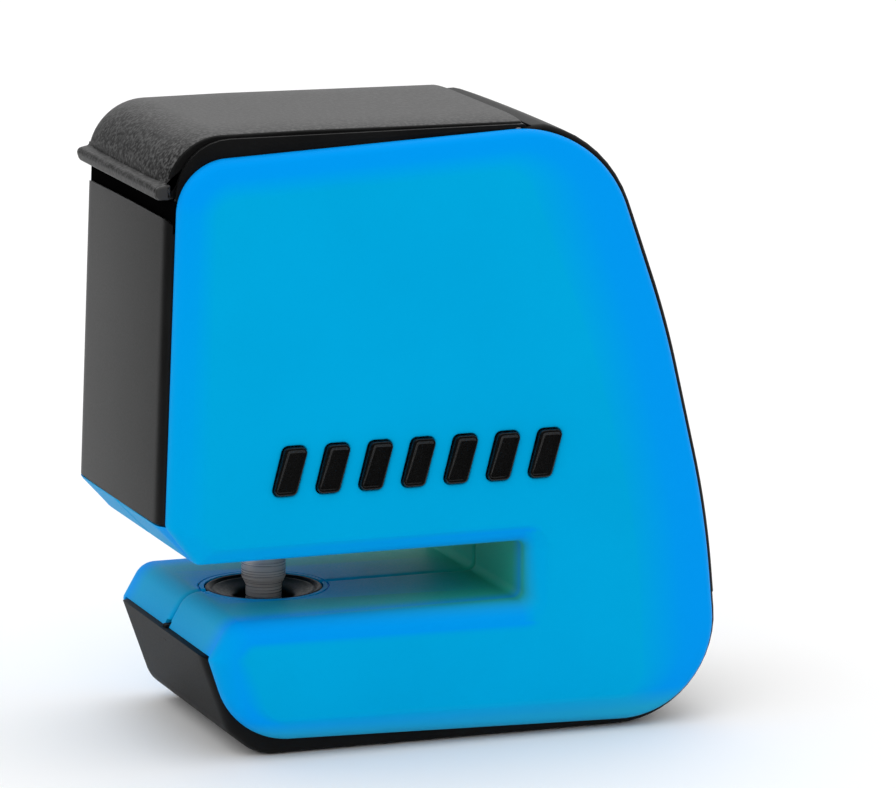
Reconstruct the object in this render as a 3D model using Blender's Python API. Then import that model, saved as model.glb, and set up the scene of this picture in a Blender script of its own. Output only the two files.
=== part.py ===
"""A disc brake lock, closed: a C-shaped body, a pin across its slot, and a key cylinder under a dust flap.

Sizes are in millimetres in the code and are scaled to metres by MM when a mesh is made. The design's datum
is the pin's axis where it crosses the slot floor: +X runs into the slot towards the spine, -Y is the front
cheek, +Z is up. The empty "datum" sets that point in the part's own frame, whose origin is the centre of the
bounding box's underside.
"""

import math

import bmesh
import bpy
from mathutils import Vector

MM = 0.001
GAP = 0.3  # between pieces that touch
DATUM = (-17.536, 0.0, 17.4)  # the datum point in the part's frame

# The brake disc slot
SLOT_HEIGHT = 7.4
SLOT_END = 27.9
SLOT_CORNER = 1.0
LINER = 1.4  # thickness of the shells' slot lining
CHEEK_STEP = 0.12  # the cheek's edge stands back this far from the lining

# Across the width
CHEEK_Y = 19.5  # the flat of each cheek
CHEEK_EDGE_Y = 17.2  # where the cheek's rolled edge ends
CHEEK_INNER_Y = 16.9
BAND_Y = 16.6  # half width of the black bands between the cheeks
BAND = 1.8  # their thickness
CORE_Y = 11.5  # half width of the cast core
SEAM = 0.15  # half of the groove between the two shells

# The lock pin and what moves it
PIN_R = 2.75
PIN_NOSE_R = 2.25
STEM_R = 3.3
PIN_TIP_Z = -2.4
SHOULDER_Z = 13.9
STEM_TOP_Z = 22.2
TRAVEL = 10.0
TURN = 180.0  # degrees of key turn for the full travel
FOLLOWER_R = 1.15
FOLLOWER_Z = 19.0
FOLLOWER_HALF = 7.6
CAM_HALF_HEIGHT = 1.85
CAM_END_PAD = 24.0  # degrees that the helical slot runs past the follower's rest

SLEEVE_IN_R = 3.5
SLEEVE_OUT_R = 6.0
SLEEVE_BOTTOM_Z = 14.2
SLEEVE_CAP_Z = 32.6
SLEEVE_TOP_Z = 34.0
BUSH_IN_R = 6.2
BUSH_OUT_R = 8.4
BUSH_TOP_Z = 34.6
BORE_R = 8.6
BORE_BOTTOM_Z = 13.6

HOUSING_BOTTOM_Z = 35.9
HOUSING_TOP_Z = 53.4
PLUG_R = 5.0
PLUG_BORE_R = 5.1
PLUG_NECK_R = 3.6
PLUG_SHOULDER_Z = 37.5
PLUG_TOP_Z = 51.6
DISC_R = 4.0
DISC_THICK = 1.5
DISC_PITCH = 1.85
DISC_FIRST_Z = 38.9
DISCS = 6
SIDE_BAR_R = 0.75
SIDE_BAR_X = 4.15

# The deck under the flap
CORE_TOP_Z = 53.6
DECK_BOTTOM_Z = 53.9
DECK_Z = 55.4
KEY_WELL_R = 5.8
RIM_INNER_Y = 15.95
HINGE = (27.2, 0.0, 58.2)
HINGE_PIN_R = 0.5
FLAP_SWEEP_R = 1.8  # clear room for the flap's end as it turns

# The receiver in the lower jaw
RING_R = 8.0
RING_HOLE_R = 3.75
SKIRT_R = 6.0
CUP_IN_R = 3.4
CUP_BOTTOM_Z = -11.0

# The cheek's outline: x, z, corner radius, and the width of the sloping rim along the edge that follows
CHEEK = [
    (-18.2, 12.05, 1.5, 3.6),
    (-16.4, 56.6, 6.6, 4.3),
    (37.4, 59.05, 15.0, 9.0),
    (46.3, 33.5, 110.0, 9.0),
    (52.0, 9.0, 110.0, 9.0),
    (54.3, -16.7, 12.0, 3.6),
    (-9.4, -15.0, 9.5, 1.8),
    (-12.85, -4.5, 0.8, 1.0),
    (-10.25, -CHEEK_STEP, 2.0, 1.8),
    (SLOT_END + CHEEK_STEP, -CHEEK_STEP, SLOT_CORNER, 1.4),
    (SLOT_END + CHEEK_STEP, SLOT_HEIGHT + CHEEK_STEP, SLOT_CORNER, 1.4),
    (-14.5, SLOT_HEIGHT + CHEEK_STEP, 1.2, 1.2),
]

# Pegs that locate each shell in sockets of the core: x, z
PEGS = [(-12.3, 30.0), (22.0, 47.0), (37.0, 32.0), (43.0, -5.0), (14.0, -9.0)]
PEG_R = 2.0
PEG_END_Y = 9.0

BARS = 7
BAR_PITCH = 5.5
BAR_WIDTH = 3.0
BAR_SLANT = 1.6
BAR_X = -3.2
BAR_Z = (15.7, 21.6)
BAR_FACE_Y = 20.1

BLUE = (0.004, 0.33, 0.66)
BLACK = (0.016, 0.016, 0.017)


# ---------------------------------------------------------------- outlines


def direction(a, b):
    return Vector((b[0] - a[0], b[1] - a[1])).normalized()


def arc_steps(radius):
    return 2 if radius < 1.5 else 4 if radius < 5 or radius > 50 else 8


def inset(corners, widths):
    """A closed outline's corners moved inwards, each edge by its own width. Corners run clockwise.

    Each corner gets its arc's number of steps as a fourth value, so that every inset has as many points.
    """
    moved = []
    for i, corner in enumerate(corners):
        before = corners[i - 1]
        after = corners[(i + 1) % len(corners)]
        u = direction(before, corner)
        v = direction(corner, after)
        across_u = Vector((u.y, -u.x)) * widths[i - 1]
        across_v = Vector((v.y, -v.x)) * widths[i]
        turn = u.cross(v)
        along = (across_v - across_u).cross(v) / turn if abs(turn) > 1e-6 else 0.0
        point = Vector(corner[:2]) + across_u + u * along
        grow = (widths[i - 1] + widths[i]) / 2
        radius = corner[2] - grow if turn < 0 else corner[2] + grow
        moved.append((point.x, point.y, max(radius, 0.25), arc_steps(corner[2])))
    return moved


def rounded(corners, is_open=False):
    """Points of an outline whose corners x, z, radius become arcs. The ends of an open one stay as they are."""
    points = []
    for i, corner in enumerate(corners):
        if is_open and i in (0, len(corners) - 1):
            points.append(Vector(corner[:2]))
            continue
        before = corners[i - 1]
        after = corners[(i + 1) % len(corners)]
        u = direction(before, corner)
        v = direction(corner, after)
        angle = u.angle_signed(v)
        radius = corner[2]
        reach = radius * math.tan(abs(angle) / 2)
        start = Vector(corner[:2]) - u * reach
        steps = corner[3] if len(corner) > 3 else arc_steps(radius)
        side = Vector((-u.y, u.x)) * (-1 if angle > 0 else 1)
        centre = start + side * radius
        for k in range(steps + 1):
            turn = -angle * k / steps
            arm = (start - centre) * math.cos(turn)
            arm += Vector((-(start - centre).y, (start - centre).x)) * math.sin(turn)
            points.append(centre + arm)
    return points


def starting_at(points, x):
    """An open outline that runs towards +X, cut so that it starts at x, with no very short first step."""
    first = next(i for i, p in enumerate(points) if p.x > x + 0.5)
    before, after = points[first - 1], points[first]
    start = before.lerp(after, (x - before.x) / (after.x - before.x))
    return [start, *points[first:]]


# ---------------------------------------------------------------- meshes


def skin(loops, closed_ends=True):
    """A closed mesh through loops of 3D points that all have the same number of points."""
    bm = bmesh.new()
    rings = [[bm.verts.new(Vector(p) * MM) for p in loop] for loop in loops]
    count = len(rings[0])
    for low, high in zip(rings, rings[1:]):
        for i in range(count):
            j = (i + 1) % count
            bm.faces.new((low[i], low[j], high[j], high[i]))
    if closed_ends:
        bm.faces.new(rings[0])
        bm.faces.new(rings[-1])
    return bm


def prism(outline, y0, y1):
    return skin([[(p[0], y, p[1]) for p in outline] for y in (y0, y1)])


def column(outline, z0, z1):
    return skin([[(p[0], p[1], z) for p in outline] for z in (z0, z1)])


def circle(radius, steps=32, centre=(0.0, 0.0)):
    angles = [2 * math.pi * i / steps for i in range(steps)]
    return [(centre[0] + radius * math.cos(a), centre[1] + radius * math.sin(a)) for a in angles]


def box(x, y, z):
    """A box from three pairs of limits."""
    return column([(x[0], y[0]), (x[1], y[0]), (x[1], y[1]), (x[0], y[1])], z[0], z[1])


def rod_y(radius, y0, y1, x, z, steps=16):
    return prism(circle(radius, steps, (x, z)), y0, y1)


def rod_x(radius, x0, x1, z, steps=16):
    return skin([[(x, p[0], p[1]) for p in circle(radius, steps, (0.0, z))] for x in (x0, x1)])


def turned(profile, steps=40):
    """A closed profile of (radius, z) turned about the pin's axis. Points on the axis become poles."""
    bm = bmesh.new()
    rings = []
    for radius, z in profile:
        if radius == 0:
            rings.append([bm.verts.new(Vector((0, 0, z)) * MM)] * steps)
            continue
        rings.append([bm.verts.new(Vector((p[0], p[1], z)) * MM) for p in circle(radius, steps)])
    for low, high in zip(rings, rings[1:] + rings[:1]):
        for i in range(steps):
            j = (i + 1) % steps
            corners = list(dict.fromkeys((low[i], low[j], high[j], high[i])))
            if len(corners) > 2:
                bm.faces.new(corners)
    return bm


def join(*meshes):
    """Several meshes as one, each still a body of its own."""
    whole = bmesh.new()
    for bm in meshes:
        part = bpy.data.meshes.new("part")
        bmesh.ops.recalc_face_normals(bm, faces=bm.faces)
        bm.to_mesh(part)
        bm.free()
        whole.from_mesh(part)
        bpy.data.meshes.remove(part)
    return whole


def band(path, thickness, crown, flat=0.0, power=2.5, half=BAND_Y, stations=6):
    """A strip along a path in the x-z plane, crowned across its width.

    path runs clockwise round the body, so its left side is the outside. crown is the rise at the middle, as
    one number or as one for each end of the path.
    """
    crowns = crown if isinstance(crown, tuple) else (crown, crown)
    lengths = [0.0]
    for a, b in zip(path, path[1:]):
        lengths.append(lengths[-1] + (b - a).length)
    widths = [half * math.sin(math.pi / 2 * k / stations) for k in range(stations + 1)]
    widths = [-w for w in reversed(widths)] + widths[1:]
    if flat:
        widths = sorted({w for w in widths if abs(w) > flat} | {flat, -flat})
    loops = []
    for i, point in enumerate(path):
        u = direction(path[max(i - 1, 0)], point) if i else direction(point, path[1])
        v = direction(point, path[i + 1]) if i + 1 < len(path) else u
        across = (u + v).normalized()
        outward = Vector((-across.y, across.x))
        share = lengths[i] / lengths[-1]
        rise = crowns[0] + (crowns[1] - crowns[0]) * share
        stretch = 1 / max(math.cos(u.angle(v) / 2), 0.5)
        loop = []
        for y in widths:
            edge = max(abs(y) - flat, 0) / (half - flat)
            p = point + outward * rise * (1 - edge**power)
            loop.append((p.x, y, p.y))
        inner = point - outward * thickness * stretch
        loop.append((inner.x, half, inner.y))
        loop.append((inner.x, -half, inner.y))
        loops.append(loop)
    return skin(loops)


# ---------------------------------------------------------------- objects


def clear_scene():
    for obj in list(bpy.data.objects):
        bpy.data.objects.remove(obj, do_unlink=True)


def finish_colour(name, rgb, roughness, metallic=0.0):
    made = bpy.data.materials.new(name)
    made.use_nodes = True
    shader = made.node_tree.nodes["Principled BSDF"]
    shader.inputs["Base Color"].default_value = (*rgb, 1.0)
    shader.inputs["Roughness"].default_value = roughness
    shader.inputs["Metallic"].default_value = metallic
    return made


def empty(name, place, parent=None):
    obj = bpy.data.objects.new(name, None)
    obj.location = Vector(place) * MM
    obj.parent = parent
    bpy.context.scene.collection.objects.link(obj)
    return obj


def add(name, bm, colour, parent, pivot=(0.0, 0.0, 0.0), smooth=30.0):
    """An object from a mesh in datum coordinates, with its origin on the pivot of its parent empty."""
    bmesh.ops.recalc_face_normals(bm, faces=bm.faces)
    bmesh.ops.translate(bm, vec=-Vector(pivot) * MM, verts=bm.verts)
    mesh = bpy.data.meshes.new(name)
    bm.to_mesh(mesh)
    bm.free()
    mesh.shade_smooth()
    mesh.set_sharp_from_angle(angle=math.radians(smooth))
    if colour:
        mesh.materials.append(colour)
    obj = bpy.data.objects.new(name, mesh)
    obj.parent = parent
    bpy.context.scene.collection.objects.link(obj)
    return obj


def shape(obj, operation, bm, pivot=(0.0, 0.0, 0.0)):
    """A Boolean on obj with a hidden tool that holds the mesh bm."""
    tool = add(f"{obj.name}_tool", bm, None, obj.parent, pivot)
    tool.hide_render = True
    tool.display_type = "WIRE"
    tool.hide_set(True)
    boolean = obj.modifiers.new(operation.lower(), "BOOLEAN")
    boolean.operation = operation
    boolean.solver = "EXACT"
    boolean.object = tool


# ---------------------------------------------------------------- the shells


def cheek_loops(side):
    """Loops of the cheek plate from its inner face, over the rolled edge, up the rim to the flat."""
    rims = [corner[3] for corner in CHEEK]
    steps = [  # share of the rim, extra inset, y
        (0.0, 0.0, CHEEK_INNER_Y),
        (0.0, 0.0, CHEEK_EDGE_Y),
        (0.0, 0.3, CHEEK_EDGE_Y + 0.6),
        (0.0, 0.8, CHEEK_EDGE_Y + 0.95),
        (1.0, 0.0, CHEEK_Y - 0.25),
        (1.0, 0.4, CHEEK_Y),
    ]
    loops = []
    for share, extra, y in steps:
        outline = rounded(inset(CHEEK, [share * rim + extra for rim in rims]))
        loops.append([(p.x, side * y, p.y) for p in outline])
    return loops


def liner():
    """The slot lining in x-z: mouth lip, ceiling, end wall, floor and the tip of the lower jaw."""
    top = SLOT_HEIGHT + LINER
    end = SLOT_END + LINER
    return rounded(
        [
            (-18.3, 11.9, 0.3),
            (-14.6, SLOT_HEIGHT, 1.2),
            (SLOT_END, SLOT_HEIGHT, SLOT_CORNER),
            (SLOT_END, 0.0, SLOT_CORNER),
            (-10.4, 0.0, 2.0),
            (-13.1, -4.3, 0.3),
            (-11.4, -4.3, 0.3),
            (-9.6, -LINER, 1.0),
            (end, -LINER, SLOT_CORNER),
            (end, top, SLOT_CORNER),
            (-13.9, top, 0.8),
            (-16.3, 11.9, 0.3),
        ]
    )


def bar_outline(index, grow=0.0):
    x = BAR_X + index * BAR_PITCH
    half = BAR_WIDTH / 2 + grow
    low, high = BAR_Z[0] - grow, BAR_Z[1] + grow
    lean = BAR_SLANT / 2
    return rounded(
        [
            (x - half - lean, low, 0.7),
            (x - half + lean, high, 0.7),
            (x + half + lean, high, 0.7),
            (x + half - lean, low, 0.7),
        ]
    )


def shell(name, side, colour, parent):
    obj = add(name, skin(cheek_loops(side)), colour, parent)
    shape(obj, "UNION", prism(liner(), side * SEAM, side * (CHEEK_INNER_Y + 0.15)))
    pegs = [rod_y(PEG_R, side * PEG_END_Y, side * (CHEEK_INNER_Y + 0.4), x, z, 12) for x, z in PEGS]
    shape(obj, "UNION", join(*pegs))
    bars = [prism(bar_outline(i, 0.15), side * 15.0, side * 21.0) for i in range(BARS)]
    holes = [column(circle(RING_R + 0.2, 40), -3.0, 1.0), column(circle(PIN_R + 0.9), 6.0, 10.0)]
    tab_notch = box((-15.0, -11.0), (-0.95, 0.95), (-6.0, -3.5))
    shape(obj, "DIFFERENCE", join(*bars, *holes, tab_notch))


def grip_bars(name, side, colour, parent):
    plate = rounded([(-7.2, 14.6, 1.0), (-7.2, 22.7, 1.0), (33.4, 22.7, 1.0), (33.4, 14.6, 1.0)])
    obj = add(name, prism(plate, side * 15.2, side * BAND_Y), colour, parent)
    bars = []
    for i in range(BARS):
        loops = []
        for grow, y in ((0.0, 16.0), (0.0, BAR_FACE_Y - 0.3), (-0.3, BAR_FACE_Y)):
            loops.append([(p.x, side * y, p.y) for p in bar_outline(i, grow)])
        bars.append(skin(loops))
    shape(obj, "UNION", join(*bars))


# ---------------------------------------------------------------- the core and its trim


def core_body(colour, parent):
    back = GAP + LINER
    top = SLOT_HEIGHT + back
    end = SLOT_END + back
    outline = rounded(
        [
            (-16.0, 12.4, 0.4),
            (-14.0, CORE_TOP_Z, 3.4),
            (28.9, CORE_TOP_Z, 0.5),
            (28.9, 56.4, 0.5),
            (35.4, 56.2, 12.5),
            (43.6, 33.2, 100.0),
            (49.3, 9.0, 100.0),
            (51.6, -14.4, 10.0),
            (-5.8, -14.4, 7.0),
            (-9.6, -4.9, 0.5),
            (-8.8, -back, 1.0),
            (end, -back, SLOT_CORNER),
            (end, top, SLOT_CORNER),
            (-13.8, top, 0.8),
        ]
    )
    obj = add("core_body", prism(outline, -CORE_Y, CORE_Y), colour, parent)
    bore = column(circle(BORE_R, 40), BORE_BOTTOM_Z, 60.0)
    shape(obj, "DIFFERENCE", bore)
    guide = column(circle(PIN_R + 0.15), 5.0, BORE_BOTTOM_Z + 1)
    seal = column(circle(5.0), 5.0, 11.0)
    flange = column(circle(RING_R + 0.3, 40), -2.3, 1.0)
    cup = column(circle(SKIRT_R + 0.3), CUP_BOTTOM_Z - GAP, 0.5)
    for tool in (guide, seal, flange, cup):
        shape(obj, "DIFFERENCE", tool)
    sockets = []
    for side in (-1, 1):
        for x, z in PEGS:
            sockets.append(rod_y(PEG_R + 0.2, side * (PEG_END_Y - GAP), side * 14.0, x, z, 12))
    screw_holes = [column(circle(1.7, 12, (15.0, y)), 43.0, 60.0) for y in (-8.0, 8.0)]
    shape(obj, "DIFFERENCE", join(*sockets, *screw_holes))
    shape(obj, "DIFFERENCE", rod_y(1.6, -14.0, 14.0, BORE_R + 0.2, 45.0, 12))


def deck_frame(colour, parent):
    """The frame under the flap: floor plate, left wall of the finger recess, and a rim along each side."""
    outline = rounded(
        [
            (-16.6, 50.0, 0.2),
            (-16.3, 59.1, 6.8),
            (28.2, 59.05, 0.3),
            (28.2, DECK_BOTTOM_Z, 0.3),
            (-14.3, DECK_BOTTOM_Z, 3.4),
            (-14.6, 50.0, 0.2),
        ]
    )
    obj = add("deck_frame", prism(outline, -BAND_Y, BAND_Y), colour, parent)
    pocket = rounded(
        [
            (-25.0, 45.0, 0.2),
            (-25.0, 70.0, 0.2),
            (35.0, 70.0, 0.2),
            (35.0, DECK_Z, 0.2),
            (-15.4, DECK_Z, 4.5),
            (-15.4, 45.0, 0.2),
        ]
    )
    shape(obj, "DIFFERENCE", prism(pocket, -RIM_INNER_Y, RIM_INNER_Y))
    heads = [column(circle(2.9, 16, (15.0, y)), DECK_Z - 0.7, 60.0) for y in (-8.0, 8.0)]
    shanks = [column(circle(1.7, 12, (15.0, y)), 50.0, DECK_Z - 0.6) for y in (-8.0, 8.0)]
    shape(obj, "DIFFERENCE", column(circle(KEY_WELL_R), 50.0, 60.0))
    shape(obj, "DIFFERENCE", join(*heads))
    shape(obj, "DIFFERENCE", join(*shanks))
    shape(obj, "DIFFERENCE", rod_y(HINGE_PIN_R + 0.12, -20.0, 20.0, HINGE[0], HINGE[2], 12))


def trim(colour, parent):
    end_path = rounded([(-18.15, 12.3), (-16.75, 49.7)], is_open=True)
    add("end_panel", band(end_path, BAND, 0.9, power=4.0), colour, parent)

    spine_path = rounded(
        [(20.0, 58.25), (37.4, 59.05, 15.0), (46.3, 33.5, 110.0), (52.0, 9.0, 110.0), (52.95, -1.4)],
        is_open=True,
    )
    spine_path = starting_at(spine_path, HINGE[0] + 1.3)
    spine = add("spine_band", band(spine_path, BAND, (0.85, 1.3), power=2.6), colour, parent)
    shape(spine, "DIFFERENCE", rod_y(FLAP_SWEEP_R, -20.0, 20.0, HINGE[0], HINGE[2], 32))
    shape(spine, "DIFFERENCE", box((26.0, HINGE[0] + 1.85), (-19.0, 19.0), (54.0, HINGE[2] + 0.1)))

    base_path = rounded(
        [(52.98, -1.8), (54.3, -16.6, 12.0), (-5.8, -16.6, 5.0), (-9.3, -13.8, 3.0), (-12.5, -4.75)],
        is_open=True,
    )
    base = add("base_bumper", band(base_path, BAND, 0.8, flat=12.5, power=2.0), colour, parent)
    shape(base, "UNION", box((-13.0, -11.6), (-0.65, 0.65), (-6.0, -3.9)))


def dust_flap(colour, parent):
    path = rounded([(-17.45, 52.2), (-17.3, 59.35, 7.0), (0.0, 59.45, 110.0), (28.05, 59.15)], is_open=True)
    leaf = band(path, 1.5, (0.6, 0.45), flat=9.0, power=2.2, half=15.65)
    obj = add("dust_flap", leaf, colour, parent, HINGE)
    lip = rounded(
        [(-16.6, 51.9, 0.2), (-18.9, 51.9, 0.7), (-19.5, 53.5, 0.8), (-17.6, 53.9, 0.3), (-16.6, 53.9, 0.2)]
    )
    lip_loops = []
    for y, short in ((-16.3, 1.2), (-15.7, 0.4), (-14.6, 0.0), (14.6, 0.0), (15.7, 0.4), (16.3, 1.2)):
        right = -16.6 - 0.4 * (abs(y) > 15)
        lip_loops.append([(min(max(p.x, -19.5 + short), right), y, p.y) for p in lip])
    shape(obj, "UNION", skin(lip_loops), HINGE)
    shape(obj, "UNION", rod_y(1.0, -15.2, 15.2, HINGE[0], HINGE[2], 20), HINGE)
    shape(obj, "DIFFERENCE", rod_y(HINGE_PIN_R + 0.1, -20.0, 20.0, HINGE[0], HINGE[2], 12), HINGE)


def deck_parts(colours, parent):
    pin = rod_y(HINGE_PIN_R, -BAND_Y, BAND_Y, HINGE[0], HINGE[2], 12)
    add("flap_hinge_pin", pin, colours["steel"], parent)
    for number, y in enumerate((-8.0, 8.0), 1):
        head = column(circle(2.6, 20, (15.0, y)), DECK_Z - 0.4, DECK_Z + 0.9)
        screw = add(f"deck_screw_{number}", head, colours["steel"], parent)
        shape(screw, "UNION", column(circle(1.4, 12, (15.0, y)), 44.0, DECK_Z))
        shape(screw, "DIFFERENCE", column(circle(1.2, 6, (15.0, y)), DECK_Z + 0.1, 60.0))
    seal = [(6.4, DECK_Z + GAP), (8.0, DECK_Z + GAP), (8.0, 57.1), (7.5, 57.6), (6.9, 57.6), (6.4, 57.1)]
    add("key_well_seal", turned(seal), colours["rubber"], parent)


# ---------------------------------------------------------------- the key cylinder


def key_cylinder(colours, fixed, turning):
    housing = turned(
        [
            (PLUG_NECK_R + 0.1, HOUSING_BOTTOM_Z),
            (BUSH_OUT_R, HOUSING_BOTTOM_Z),
            (BUSH_OUT_R, HOUSING_TOP_Z),
            (6.6, HOUSING_TOP_Z),
            (6.6, PLUG_TOP_Z),
            (PLUG_BORE_R, PLUG_TOP_Z),
            (PLUG_BORE_R, PLUG_SHOULDER_Z - 0.2),
            (PLUG_NECK_R + 0.1, PLUG_SHOULDER_Z - 0.2),
        ]
    )
    obj = add("lock_housing", housing, colours["brass"], fixed)
    groove = box((PLUG_R - 1.0, 6.1), (-1.0, 1.0), (38.4, PLUG_TOP_Z + 1.0))
    shape(obj, "DIFFERENCE", groove)
    shape(obj, "DIFFERENCE", rod_y(1.6, -14.0, 14.0, BORE_R + 0.2, 45.0, 12))
    pin = rod_y(1.4, -CORE_Y + 0.2, CORE_Y - 0.2, BORE_R + 0.2, 45.0, 12)
    add("cylinder_pin", pin, colours["steel"], fixed)

    plug = turned(
        [
            (0.0, 34.4),
            (PLUG_NECK_R, 34.4),
            (PLUG_NECK_R, PLUG_SHOULDER_Z),
            (PLUG_R, PLUG_SHOULDER_Z),
            (PLUG_R, PLUG_TOP_Z),
            (DISC_R + 0.15, PLUG_TOP_Z),
            (DISC_R + 0.15, 38.6),
            (0.0, 38.6),
        ]
    )
    obj = add("lock_plug", plug, colours["brass"], turning)
    shape(obj, "UNION", box((-3.0, 3.0), (-1.1, 1.1), (32.9, 35.0)))
    shape(obj, "DIFFERENCE", box((3.0, 6.0), (-0.95, 0.95), (38.7, 50.4)))
    clip_groove = turned([(3.0, 34.8), (4.5, 34.8), (4.5, 35.65), (3.0, 35.65)])
    shape(obj, "DIFFERENCE", clip_groove)

    clip = turned([(3.2, 34.95), (5.0, 34.95), (5.0, 35.5), (3.2, 35.5)])
    clip_obj = add("plug_circlip", clip, colours["steel"], turning)
    shape(clip_obj, "DIFFERENCE", box((0.0, 6.0), (-1.3, 1.3), (34.0, 36.0)))

    guard = add("drill_guard", column(circle(6.3, 40), PLUG_TOP_Z + 0.2, 53.0), colours["steel"], turning)
    shape(guard, "DIFFERENCE", box((-0.9, 0.9), (-3.2, 3.2), (50.0, 55.0)))

    bar = column(circle(SIDE_BAR_R, 12, (SIDE_BAR_X, 0.0)), 39.0, 50.1)
    add("side_bar", bar, colours["steel"], turning)
    for number in range(DISCS):
        z = DISC_FIRST_Z + number * DISC_PITCH
        disc = add(f"code_disc_{number + 1}", column(circle(DISC_R), z, z + DISC_THICK), colours["brass"], turning)
        notch = box((3.2, 6.0), (-0.95, 0.95), (z - 1.0, z + 3.0))
        shape(disc, "DIFFERENCE", notch)
        shape(disc, "DIFFERENCE", box((-1.2, 1.2), (-2.6, 2.6), (z - 1.0, z + 3.0)))


# ---------------------------------------------------------------- the pin and its drive


def helical_slot(start):
    """The cutter of one helical slot: it climbs TRAVEL as the angle falls by TURN from start."""
    steps = 24
    span = TURN + 2 * CAM_END_PAD
    loops = []
    for k in range(steps + 1):
        swept = -CAM_END_PAD + span * k / steps
        angle = math.radians(start - swept)
        z = FOLLOWER_Z + TRAVEL * swept / TURN
        loop = []
        for radius, dz in ((3.0, -1), (6.6, -1), (6.6, 1), (3.0, 1)):
            loop.append((radius * math.cos(angle), radius * math.sin(angle), z + dz * CAM_HALF_HEIGHT))
        loops.append(loop)
    return skin(loops)


def cam_sleeve(colour, parent):
    body = turned(
        [
            (SLEEVE_IN_R, SLEEVE_BOTTOM_Z),
            (SLEEVE_OUT_R, SLEEVE_BOTTOM_Z),
            (SLEEVE_OUT_R, SLEEVE_TOP_Z),
            (0.0, SLEEVE_TOP_Z),
            (0.0, SLEEVE_CAP_Z),
            (SLEEVE_IN_R, SLEEVE_CAP_Z),
        ]
    )
    obj = add("cam_sleeve", body, colour, parent)
    shape(obj, "DIFFERENCE", box((-3.3, 3.3), (-1.4, 1.4), (30.0, 36.0)))
    for start in (0.0, 180.0):
        shape(obj, "DIFFERENCE", helical_slot(start))


def guide_bush(colour, parent):
    body = turned(
        [
            (BUSH_IN_R, BORE_BOTTOM_Z + GAP),
            (BUSH_OUT_R, BORE_BOTTOM_Z + GAP),
            (BUSH_OUT_R, BUSH_TOP_Z),
            (BUSH_IN_R, BUSH_TOP_Z),
        ]
    )
    obj = add("guide_bush", body, colour, parent)
    shape(obj, "DIFFERENCE", box((-10.0, 10.0), (-1.45, 1.45), (17.2, 40.0)))


def lock_pin(colour, parent):
    profile = [
        (0.0, PIN_TIP_Z),
        (PIN_NOSE_R - 0.4, PIN_TIP_Z),
        (PIN_NOSE_R, PIN_TIP_Z + 0.4),
        (PIN_NOSE_R, 0.3),
        (PIN_R, 1.3),
        (PIN_R, SHOULDER_Z),
        (STEM_R, SHOULDER_Z),
        (STEM_R, STEM_TOP_Z - 0.4),
        (STEM_R - 0.4, STEM_TOP_Z),
        (0.0, STEM_TOP_Z),
    ]
    obj = add("lock_pin", turned(profile), colour, parent)
    shape(obj, "DIFFERENCE", rod_x(FOLLOWER_R + 0.12, -5.0, 5.0, FOLLOWER_Z))
    add("follower_pin", rod_x(FOLLOWER_R, -FOLLOWER_HALF, FOLLOWER_HALF, FOLLOWER_Z), colour, parent)


def jaw_parts(colours, parent):
    seal = [(PIN_R + 0.1, 9.4), (4.7, 9.4), (4.7, 10.7), (PIN_R + 0.9, 10.7), (PIN_R + 0.1, 10.2)]
    add("pin_seal", turned(seal), colours["rubber"], parent)
    ring = [
        (RING_HOLE_R, -4.0),
        (SKIRT_R, -4.0),
        (SKIRT_R, -1.8),
        (RING_R, -1.8),
        (RING_R, -0.35),
        (RING_R - 0.35, -0.05),
        (RING_R - 0.9, -0.05),
        (RING_R - 1.4, -0.5),
        (RING_HOLE_R + 0.5, -0.9),
        (RING_HOLE_R, -1.3),
    ]
    add("receiver_ring", turned(ring), colours["black"], parent)
    cup = [
        (CUP_IN_R, -4.3),
        (SKIRT_R, -4.3),
        (SKIRT_R, CUP_BOTTOM_Z),
        (0.0, CUP_BOTTOM_Z),
        (0.0, CUP_BOTTOM_Z + 1.5),
        (CUP_IN_R, CUP_BOTTOM_Z + 1.5),
    ]
    add("receiver_cup", turned(cup), colours["steel"], parent)


# ---------------------------------------------------------------- the whole


def build():
    clear_scene()
    colours = {
        "blue": finish_colour("cheek_blue", BLUE, 0.45),
        "black": finish_colour("trim_black", BLACK, 0.5),
        "rubber": finish_colour("seal_rubber", BLACK, 0.8),
        "core": finish_colour("cast_core", (0.3, 0.3, 0.32), 0.6, 1.0),
        "steel": finish_colour("bright_steel", (0.55, 0.55, 0.57), 0.3, 1.0),
        "brass": finish_colour("cylinder_brass", (0.65, 0.47, 0.2), 0.35, 1.0),
    }
    datum = empty("datum", DATUM)
    turning = empty("plug_axis", (0.0, 0.0, 0.0), datum)
    sliding = empty("pin_axis", (0.0, 0.0, 0.0), datum)
    hinge = empty("flap_axis", HINGE, datum)

    for name, side in (("front", -1), ("rear", 1)):
        shell(f"{name}_shell", side, colours["blue"], datum)
        grip_bars(f"{name}_grip_bars", side, colours["black"], datum)
    core_body(colours["core"], datum)
    deck_frame(colours["black"], datum)
    trim(colours["black"], datum)
    dust_flap(colours["black"], hinge)
    deck_parts(colours, datum)
    key_cylinder(colours, datum, turning)
    cam_sleeve(colours["steel"], turning)
    guide_bush(colours["steel"], datum)
    lock_pin(colours["steel"], sliding)
    jaw_parts(colours, datum)


build()
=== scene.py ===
"""The looks of the disc brake lock: fine meshes and materials over the frame's solids.

Shapes are worked out in millimetres from the datum, which is the pin's axis where it crosses the slot floor:
+X runs into the slot towards the spine, -Y is the front cheek, +Z is up.
"""

import math

import bmesh
import bpy
from mathutils import Matrix, Vector
from mathutils.geometry import delaunay_2d_cdt


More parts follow.
